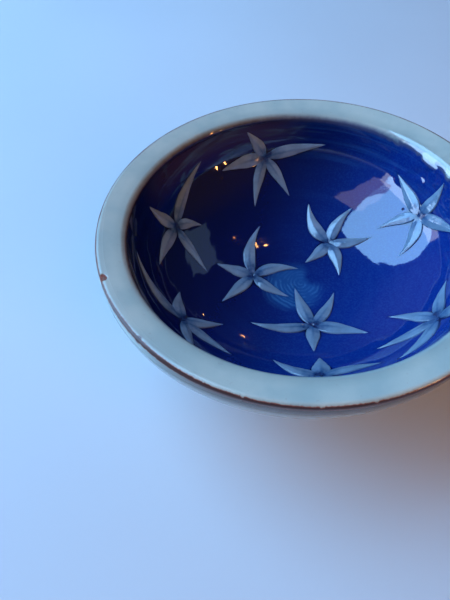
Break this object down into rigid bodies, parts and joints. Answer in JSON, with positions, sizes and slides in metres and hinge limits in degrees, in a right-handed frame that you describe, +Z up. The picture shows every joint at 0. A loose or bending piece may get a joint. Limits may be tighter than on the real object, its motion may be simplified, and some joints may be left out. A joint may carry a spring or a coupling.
{
  "type": "star bowl",
  "caption": "Small thick-rimmed round ceramic bowl on a foot ring, with a cobalt well decorated with raised five-petal stars and an iron-brown line on the rim.",
  "frame": {"origin": "on the table, at the middle of the foot ring", "axes": "+Z up along the bowl's axis; +X to the right and -Y towards the viewer, as in the picture"},
  "size_m": [0.12, 0.12, 0.047],
  "materials": {
    "clay": "unglazed fine-grained brown stoneware, matt",
    "celadon_glaze": "pale blue-grey celadon glaze, glossy",
    "iron_line": "dark iron-brown wash, half gloss",
    "cobalt_glaze": "deep cobalt blue glaze with brush streaks, high gloss",
    "star_slip": "pale grey-green slip under clear glaze, glossy, blue at the roots"
  },
  "bodies": {
    "root": {"clay_body": "clay", "foot_ring": "clay", "wall_glaze": "celadon_glaze", "rim_glaze": "celadon_glaze", "rim_line": "iron_line", "well_glaze": "cobalt_glaze", "star_1": "star_slip", "star_2": "star_slip", "star_3": "star_slip", "star_4": "star_slip", "star_5": "star_slip", "star_6": "star_slip", "star_7": "star_slip", "star_8": "star_slip", "star_9": "star_slip"}
  },
  "joints": []
}
